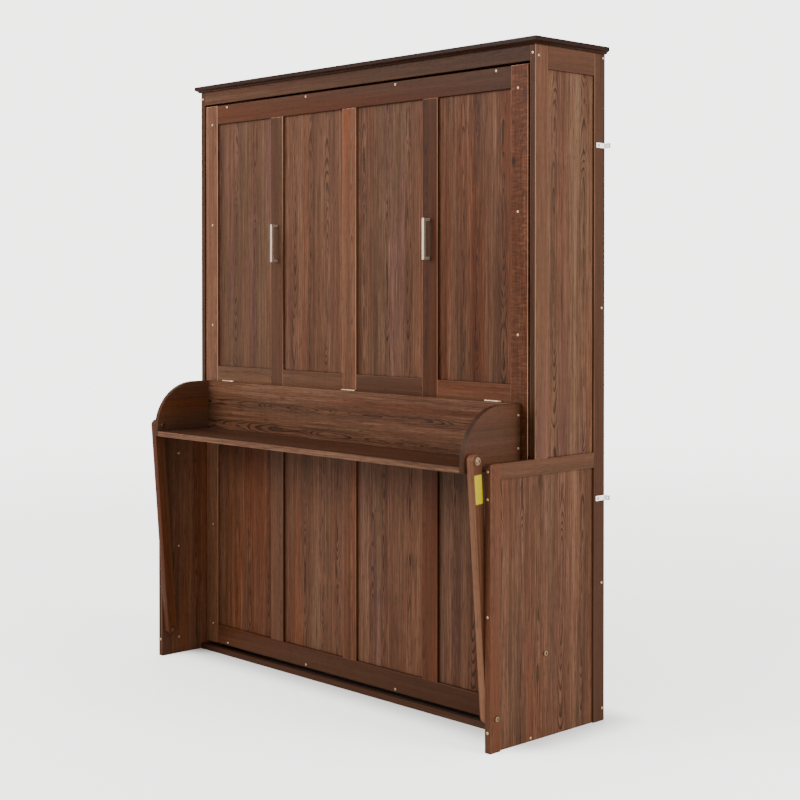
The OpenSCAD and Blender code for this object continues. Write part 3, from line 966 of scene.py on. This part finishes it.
def finish_board(node, radius, lie=None, turn=None):
    """A wooden node with eased edges and its own grain."""
    shape = merged_copy(node)
    ease_edges(shape, radius)
    shape.verts.index_update()
    groups = [[v.index for v in group] for group in islands(shape)]
    tones = [board_tone(node, part) for part in range(len(groups))]
    piece = piece_from(shape, node)
    store_grain(piece.data, groups, tones, lie, turn)
    return piece


def finish_metal(node, radius, segments=2, shortest=0.003):
    """A metal node with its edges broken."""
    shape = merged_copy(node)
    ease_edges(shape, radius, segments, shortest)
    return piece_from(shape, node)


def turned(shape, profile, sides):
    """Revolves (radius, height) points about the upright axis."""
    rings = []
    for radius, height in profile:
        if radius == 0:
            rings.append([shape.verts.new((0, 0, height))])
            continue
        angles = [2 * math.pi * i / sides for i in range(sides)]
        spots = [(radius * math.cos(a), radius * math.sin(a), height) for a in angles]
        rings.append([shape.verts.new(spot) for spot in spots])
    for low, high in zip(rings, rings[1:]):
        for i in range(sides):
            corners = [low[i % len(low)], low[(i + 1) % len(low)]]
            corners += [high[(i + 1) % len(high)], high[i % len(high)]]
            face = shape.faces.new(list(dict.fromkeys(corners)))
            face.smooth = True


def screw_seats(node):
    """Seat and outward direction of each screw in a CAD node."""
    shape = merged_copy(node)
    seats = []
    for group in islands(shape):
        corners = [v.co for v in group]
        low, high = span(corners)
        extent = [h - l for l, h in zip(low, high)]
        axis = extent.index(max(extent))
        middle = Vector([(l + h) / 2 for l, h in zip(low, high)])
        widest = max(corners, key=lambda c: (c - middle).length_squared)
        facing = Vector((0, 0, 0))
        facing[axis] = 1.0 if widest[axis] > middle[axis] else -1.0
        top = middle + facing * (extent[axis] / 2)
        seats.append((top - facing * SCREW_SEAT, facing))
    shape.free()
    return seats


def screw_shape(metal):
    """A pan head screw, without the cross recess that is cut into it later; its seat is at height
    0.
    """
    radius, height = metal.screw_head_radius, metal.screw_head_height
    shape = bmesh.new()
    shank = 1.9 * MM
    profile = [
        (0, -11.5 * MM),
        (shank * 0.5, -10.8 * MM),
        (shank, -8 * MM),
        (shank, 0),
        (radius, 0),
        (radius, height * 0.35),
        (radius * 0.93, height * 0.70),
        (radius * 0.74, height * 0.93),
        (radius * 0.5, height),
        (0, height),
    ]
    turned(shape, profile, sides=20)
    return shape_object(shape, "Screw template")


def recess_shape(metal):
    """The cross that is pressed into a screw's head."""
    arm, half = metal.screw_head_radius * 0.58, metal.screw_head_radius * 0.14
    right_arm = [(arm, -half), (arm, half), (half, half)]
    upper_arm = [(half, arm), (-half, arm), (-half, half)]
    outline = right_arm + upper_arm
    outline += [(-x, -y) for x, y in outline]
    shape = bmesh.new()
    low, high = metal.screw_head_height * 0.25, metal.screw_head_height * 1.4
    base = shape.faces.new([shape.verts.new((x, y, low)) for x, y in outline])
    lifted = bmesh.ops.extrude_face_region(shape, geom=[base])
    for item in lifted["geom"]:
        if isinstance(item, bmesh.types.BMVert):
            item.co.z = high
    bmesh.ops.recalc_face_normals(shape, faces=shape.faces)
    return shape_object(shape, "Recess template")


def shape_object(shape, name):
    """An object that holds a bmesh's shape."""
    mesh = bpy.data.meshes.new(name)
    shape.to_mesh(mesh)
    shape.free()
    return new_object(name, mesh)


def plain_mesh(source, name):
    """The evaluated mesh of an object, as a mesh of its own."""
    view = bpy.context.evaluated_depsgraph_get()
    view.update()
    mesh = bpy.data.meshes.new_from_object(source.evaluated_get(view), depsgraph=view)
    mesh.name = name
    return mesh


def repeat_tree(name, shaded):
    """Geometry nodes that set a template on every point, facing as the point says."""
    tree = bpy.data.node_groups.new(name, "GeometryNodeTree")
    face = tree.interface
    for label, kind in (
        ("Places", "NodeSocketGeometry"),
        ("Template", "NodeSocketObject"),
        ("Size", "NodeSocketFloat"),
        ("Random turn", "NodeSocketFloat"),
        ("Seed", "NodeSocketInt"),
        ("Finish", "NodeSocketMaterial"),
    ):
        face.new_socket(label, in_out="INPUT", socket_type=kind)
    face.new_socket("Pieces", in_out="OUTPUT", socket_type="NodeSocketGeometry")
    bench = Bench(tree)
    given = bench.node("NodeGroupInput")
    facing = bench.node(
        "GeometryNodeInputNamedAttribute", {"data_type": "FLOAT_VECTOR"}, {"Name": "facing"}
    )
    aimed = bench.node("FunctionNodeAlignRotationToVector", {"axis": "Z"}, {"Vector": facing})
    # Random Value takes its limits as inputs 0 and 1 for vectors, 2 and 3 for numbers, and its
    # seed as input 8
    spin = bench.node(
        "FunctionNodeRandomValue",
        {"data_type": "FLOAT"},
        {2: 0.0, 3: given.output("Random turn"), 8: given.output("Seed")},
        output=1,
    )
    spun = bench.node(
        "FunctionNodeRotateRotation",
        {"rotation_space": "LOCAL"},
        {"Rotation": aimed, "Rotate By": bench.vector(0.0, 0.0, spin)},
    )
    template = bench.node(
        "GeometryNodeObjectInfo", None, {"Object": given.output("Template")}, "Geometry"
    )
    placed = bench.node(
        "GeometryNodeInstanceOnPoints",
        None,
        {
            "Points": given,
            "Instance": template,
            "Rotation": spun,
            "Scale": given.output("Size"),
        },
    )
    if shaded:
        shade = bench.node(
            "FunctionNodeRandomValue",
            {"data_type": "FLOAT_VECTOR"},
            {0: (2.0, -0.35, -0.5), 1: (90.0, 0.25, 0.5), 8: given.output("Seed")},
        )
        placed = bench.node(
            "GeometryNodeStoreNamedAttribute",
            {"data_type": "FLOAT_VECTOR", "domain": "INSTANCE"},
            {"Geometry": placed, "Name": "tone", 3: shade},
        )
    solid = bench.node("GeometryNodeRealizeInstances", None, {"Geometry": placed})
    finished = bench.node(
        "GeometryNodeSetMaterial", None, {"Geometry": solid, "Material": given.output("Finish")}
    )
    bench.node("NodeGroupOutput", None, {0: finished})
    return tree


def repeated(node, seats, template, turn, seed, shaded=False):
    """Sets a template on every seat and turns the result into one plain piece."""
    spots = bpy.data.meshes.new(f"{node} seats")
    spots.from_pydata([tuple(place) for place, _ in seats], [], [])
    layer = spots.attributes.new("facing", "FLOAT_VECTOR", "POINT")
    layer.data.foreach_set("vector", [value for _, facing in seats for value in facing])
    holder = new_object(f"{node} seats", spots)
    tree = repeat_tree(f"Repeat {node}", shaded)
    modifier = holder.modifiers.new("Repeat", "NODES")
    modifier.node_group = tree
    values = {
        "Template": template,
        "Size": 1.0,
        "Random turn": turn,
        "Seed": seed,
        "Finish": material(NODE_SLOTS[node]),
    }
    for socket in tree.interface.items_tree:
        if socket.in_out == "INPUT" and socket.name in values:
            modifier[socket.identifier] = values[socket.name]
    mesh = plain_mesh(holder, f"{node}.finished")
    holder.modifiers.remove(modifier)
    bpy.data.objects.remove(holder)
    return hand_over(new_object(f"{node}.finished", mesh), node)


def socket_heads(shape):
    """Presses a round socket into every bolt head."""
    caps = [
        f
        for f in shape.faces
        if abs(f.normal.x) > 0.99 and len(f.verts) > 12 and f.calc_area() > 120 * MM * MM
    ]
    caps = [f for f in caps if not any(e.calc_face_angle(0.0) < 0.1 for e in f.edges)]
    heads = [f for f in caps if all(e.is_convex for e in f.edges)]
    for cap in heads:
        radius = math.sqrt(cap.calc_area() / math.pi)
        # inset and depth of two flat rings round the socket, and of the socket's own wall
        steps = ((radius * 0.10, 0.0), (radius * 0.26, 0.0), (0.3 * MM, -2.2 * MM))
        for thickness, depth in steps:
            bmesh.ops.inset_region(
                shape, faces=[cap], thickness=thickness, depth=depth, use_even_offset=True
            )


# ---- operators ----


def wooden(prefixes):
    """Wooden nodes, apart from the slats, whose names start with one of the prefixes."""
    return [
        node
        for node in sorted(frame["nodes"])
        if node.startswith(prefixes)
        and NODE_SLOTS[node].startswith(("walnut", "pale"))
        and node != "bed_slats"
    ]


def build_boards(prefixes, edges):
    """Finishes the wooden nodes whose names start with one of the prefixes."""
    for node in wooden(prefixes):
        finish_board(node, edges.joint_edge if "panel" in node else edges.eased_edge)


class WALLBED_OT_cabinet(bpy.types.Operator):
    """Builds the sides, the crown and the cross rails"""

    bl_idname = "wallbed.cabinet"
    bl_label = "Cabinet boards"

    def execute(self, context):
        prefixes = ("left_", "right_", "crown_", "top_", "rear_", "front_")
        build_boards(prefixes, context.scene.wall_bed_boards)
        return {"FINISHED"}


class WALLBED_OT_bed(bpy.types.Operator):
    """Builds the bed front and the bed box"""

    bl_idname = "wallbed.bed"
    bl_label = "Bed boards"

    def execute(self, context):
        build_boards(("bed_",), context.scene.wall_bed_boards)
        return {"FINISHED"}


class WALLBED_OT_desk(bpy.types.Operator):
    """Builds the desk's boards"""

    bl_idname = "wallbed.desk"
    bl_label = "Desk boards"

    def execute(self, context):
        for node in wooden(("desk_",)):
            lie = 1 if node.endswith("_end") else 0
            finish_board(node, context.scene.wall_bed_boards.eased_edge, lie)
        return {"FINISHED"}


def link_turn():
    """Turns a link arm's slant upright, so that its grain runs along it."""
    low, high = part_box("link_right")
    slant = math.atan2(high.y - low.y - LINK_WIDTH, high.z - low.z - LINK_WIDTH)
    return Matrix.Rotation(-slant, 3, "X")


class WALLBED_OT_links(bpy.types.Operator):
    """Builds the two link arms and the blank sticker"""

    bl_idname = "wallbed.links"
    bl_label = "Link arms"

    def execute(self, context):
        for node in ("link_left", "link_right"):
            radius = context.scene.wall_bed_boards.eased_edge
            finish_board(node, radius, 2, link_turn())
        shape = merged_copy("link_sticker")
        thin = [e for e in shape.edges if e.calc_length() < 1 * MM]
        bmesh.ops.bevel(shape, geom=thin, offset=3 * MM, segments=5, profile=0.5, affect="EDGES")
        shape.verts.index_update()
        groups = [[v.index for v in shape.verts]]
        sticker = piece_from(shape, "link_sticker")
        store_grain(sticker.data, groups, [STICKER_TONE], 2, link_turn())
        return {"FINISHED"}


def slat_shape(low, high, edge):
    """One slat with eased edges, centred, with its own grain."""
    shape = bmesh.new()
    bmesh.ops.create_cube(shape, size=1)
    for vertex in shape.verts:
        for a in range(3):
            vertex.co[a] *= high[a] - low[a]
    ease_edges(shape, edge, 3)
    shape.faces.layers.float.remove(shape.faces.layers.float["edge_strip"])
    made = shape_object(shape, "Slat template")
    store_grain(made.data, [range(len(made.data.vertices))], [SLAT_TONE])
    return made


class WALLBED_OT_slats(bpy.types.Operator):
    """Lays the slats of the bed"""

    bl_idname = "wallbed.slats"
    bl_label = "Slats"

    def execute(self, context):
        shape = merged_copy("bed_slats")
        spans = [span([v.co for v in group]) for group in islands(shape)]
        shape.free()
        seats = [((low + high) / 2, Vector((0, 0, 1))) for low, high in spans]
        template = slat_shape(*spans[0], context.scene.wall_bed_boards.eased_edge)
        repeated("bed_slats", seats, template, 0.0, 11, True)
        bpy.data.objects.remove(template)
        return {"FINISHED"}


class WALLBED_OT_handles(bpy.types.Operator):
    """Builds the two pull handles"""

    bl_idname = "wallbed.handles"
    bl_label = "Handles"

    def execute(self, context):
        for node in ("handle_left", "handle_right"):
            finish_metal(node, 1.4 * MM, segments=3)
        return {"FINISHED"}


class WALLBED_OT_hinges(bpy.types.Operator):
    """Builds the hinges and the wall brackets"""

    bl_idname = "wallbed.hinges"
    bl_label = "Hinges and brackets"

    def execute(self, context):
        for node in ("hinge_bed_leaves", "hinge_desk_leaves"):
            finish_metal(node, 0.25 * MM, segments=1)
        finish_metal("wall_brackets", 0.5 * MM)
        return {"FINISHED"}


class WALLBED_OT_bolts(bpy.types.Operator):
    """Builds the pivot bolts and the link bolts"""

    bl_idname = "wallbed.bolts"
    bl_label = "Bolts"

    def execute(self, context):
        for node in ("cabinet_bolts", "desk_bolts"):
            shape = merged_copy(node)
            ease_edges(shape, 0.45 * MM, shortest=0.4 * MM)
            socket_heads(shape)
            piece = piece_from(shape, node)
            piece.data.materials[0] = material("bolt")
        return {"FINISHED"}


class WALLBED_OT_screws(bpy.types.Operator):
    """Drives the wood screws"""

    bl_idname = "wallbed.screws"
    bl_label = "Screws"

    def execute(self, context):
        metal = context.scene.wall_bed_hardware
        template, cutter = screw_shape(metal), recess_shape(metal)
        cut = template.modifiers.new("Recess", "BOOLEAN")
        cut.operation, cut.object = "DIFFERENCE", cutter
        template.data = plain_mesh(template, "Screw template")
        template.modifiers.remove(cut)
        for number, node in enumerate(("cabinet_screws", "bed_screws", "desk_screws")):
            repeated(node, screw_seats(node), template, math.pi, 5 + number)
        bpy.data.objects.remove(template)
        bpy.data.objects.remove(cutter)
        return {"FINISHED"}


class WALLBED_OT_stage(bpy.types.Operator):
    """Lays the floor, hangs the lights and places the camera"""

    bl_idname = "wallbed.stage"
    bl_label = "Stage"

    def execute(self, context):
        look = context.scene.wall_bed_stage
        lay_floor(look)
        fill_air(look)
        hang_light("Front softbox", (-2.6, -6.2, 4.2), (0, 0, 1.0), (4.5, 3.5), look.front_power)
        hang_light("Side softbox", (5.6, 1.6, 2.8), (0.9, 0.1, 1.0), (2.5, 3.5), look.side_power)
        place_camera(look)
        return {"FINISHED"}


def lay_floor(look):
    """A wide matt floor that runs out into the backdrop, with painted shadow behind the skid rail
    and round the bed's foot.
    """
    shape = bmesh.new()
    bmesh.ops.create_grid(shape, x_segments=1, y_segments=1, size=90)
    mesh = bpy.data.meshes.new("Studio floor")
    shape.to_mesh(mesh)
    shape.free()
    floor = new_object("Studio floor", mesh)
    paint, bench = new_material("Studio floor")
    place = bench.place()
    away = bench.node("ShaderNodeVectorMath", {"operation": "LENGTH"}, {0: place}, "Value")
    across, depth, _ = bench.parts(place)
    sideways = bench.maths("ABSOLUTE", across)

    # painted shadow: the strip of floor behind the front skid rail, which little light reaches, is
    # painted nearly black
    painted_floor_shadow = bench.step(sideways, 0.85, 0.84) * bench.step(depth, -0.064, -0.05)
    painted_floor_shadow = painted_floor_shadow * bench.step(depth, 0.15, 0.08)
    floor_with_painted_shadow = bench.blend(painted_floor_shadow, look.floor_colour, (0.01, 0.008, 0.007))
    boards = bench.node(
        "ShaderNodeBsdfPrincipled",
        None,
        {"Base Color": floor_with_painted_shadow, "Roughness": 0.9, "Specular IOR Level": 0.1},
    )

    # painted shadow: to the camera the floor glows outside the bed's foot, the glow fading in over
    # 0.16 m, so it stays darker over the foot and close round it; farther off it runs out into the
    # backdrop
    beside = bench.maths("MAXIMUM", sideways - FOOT_HALF_WIDTH, 0.0)
    from_middle = bench.maths("ABSOLUTE", depth - FOOT_MIDDLE)
    before = bench.maths("MAXIMUM", from_middle - FOOT_HALF_DEPTH, 0.0)
    outside = bench.maths("SQRT", beside * beside + before * before)
    glow = bench.node(
        "ShaderNodeEmission",
        None,
        {
            "Color": (*look.backdrop, 1.0),
            "Strength": bench.step(outside, 0.0, 0.16) * look.floor_glow,
        },
    )
    lifted = bench.node("ShaderNodeAddShader", None, {0: boards, 1: glow})
    far = bench.node(
        "ShaderNodeEmission",
        None,
        {"Color": (*look.backdrop, 1.0), "Strength": look.backdrop_strength},
    )
    seen = bench.node("ShaderNodeLightPath", output="Is Camera Ray")
    fade = bench.step(away, 1.6, 9.0)
    shown = bench.node("ShaderNodeMixShader", None, {0: fade, 1: lifted, 2: far})
    surface = bench.node("ShaderNodeMixShader", None, {0: seen, 1: boards, 2: shown})
    bench.node("ShaderNodeOutputMaterial", None, {"Surface": surface})
    mesh.materials.append(paint)


def fill_air(look):
    """Even light from all round, and a plain backdrop for the camera."""
    world = bpy.data.worlds.new("Studio air")
    world.use_nodes = True
    bpy.context.scene.world = world
    bench = Bench(world.node_tree)
    seen = bench.node("ShaderNodeLightPath", output="Is Camera Ray")
    strength = look.ambient + seen * (look.backdrop_strength - look.ambient)
    air = bench.node(
        "ShaderNodeBackground", None, {"Color": (*look.backdrop, 1.0), "Strength": strength}
    )
    bench.node("ShaderNodeOutputWorld", None, {"Surface": air})


def hang_light(name, place, target, size, power):
    """A rectangular soft light that faces a point."""
    lamp = bpy.data.lights.new(name, "AREA")
    lamp.shape = "RECTANGLE"
    lamp.size, lamp.size_y = size
    lamp.energy = power
    holder = new_object(name, lamp)
    holder.location = place
    aim = Vector(target) - Vector(place)
    holder.rotation_euler = aim.to_track_quat("-Z", "Y").to_euler()


def place_camera(look):
    """A level view with a lowered frame."""
    lens = bpy.data.cameras.new("Camera")
    lens.lens = look.lens
    lens.sensor_width = 36
    lens.shift_y = look.rise
    lens.clip_start, lens.clip_end = 0.05, 200
    camera = new_object("Camera", lens)
    camera.location = look.camera_place
    turn, tilt = look.camera_turn, look.camera_tilt
    aim = Vector(
        (-math.sin(turn) * math.cos(tilt), math.cos(turn) * math.cos(tilt), -math.sin(tilt))
    )
    camera.rotation_euler = aim.to_track_quat("-Z", "Y").to_euler()
    bpy.context.scene.camera = camera


class WALLBED_PT_panel(bpy.types.Panel):
    """Lists the settings and the build steps"""

    bl_idname = "WALLBED_PT_panel"
    bl_label = "Wall Bed"
    bl_space_type = "VIEW_3D"
    bl_region_type = "UI"
    bl_category = "Wall Bed"

    def draw(self, context):
        for name in SETTINGS:
            group = getattr(context.scene, name)
            box = self.layout.box()
            for setting in group.bl_rna.properties:
                if setting.identifier not in {"rna_type", "name"}:
                    box.prop(group, setting.identifier)
        for step in STEPS:
            self.layout.operator(step.bl_idname)


SETTINGS = {
    "wall_bed_walnut": WalnutLook,
    "wall_bed_boards": BoardShape,
    "wall_bed_hardware": HardwareLook,
    "wall_bed_stage": StageLook,
}
STEPS = (
    WALLBED_OT_stage,
    WALLBED_OT_cabinet,
    WALLBED_OT_bed,
    WALLBED_OT_desk,
    WALLBED_OT_links,
    WALLBED_OT_slats,
    WALLBED_OT_handles,
    WALLBED_OT_hinges,
    WALLBED_OT_bolts,
    WALLBED_OT_screws,
)


def register():
    """Adds the settings, the build steps and the panel."""
    for name, group in SETTINGS.items():
        bpy.utils.register_class(group)
        setattr(bpy.types.Scene, name, bpy.props.PointerProperty(type=group))
    for step in STEPS:
        bpy.utils.register_class(step)
    bpy.utils.register_class(WALLBED_PT_panel)


def unregister():
    """Takes them away again."""
    bpy.utils.unregister_class(WALLBED_PT_panel)
    for step in reversed(STEPS):
        bpy.utils.unregister_class(step)
    for name, group in reversed(SETTINGS.items()):
        delattr(bpy.types.Scene, name)
        bpy.utils.unregister_class(group)


def main():
    """Builds every piece in order."""
    register()
    # the default scene's own objects make room for the stage
    for item in list(bpy.data.objects):
        if item.name in ("Cube", "Light", "Camera"):
            bpy.data.objects.remove(item)
    for step in STEPS:
        group, name = step.bl_idname.split(".")
        getattr(getattr(bpy.ops, group), name)()


if __name__ == "__main__":
    main()
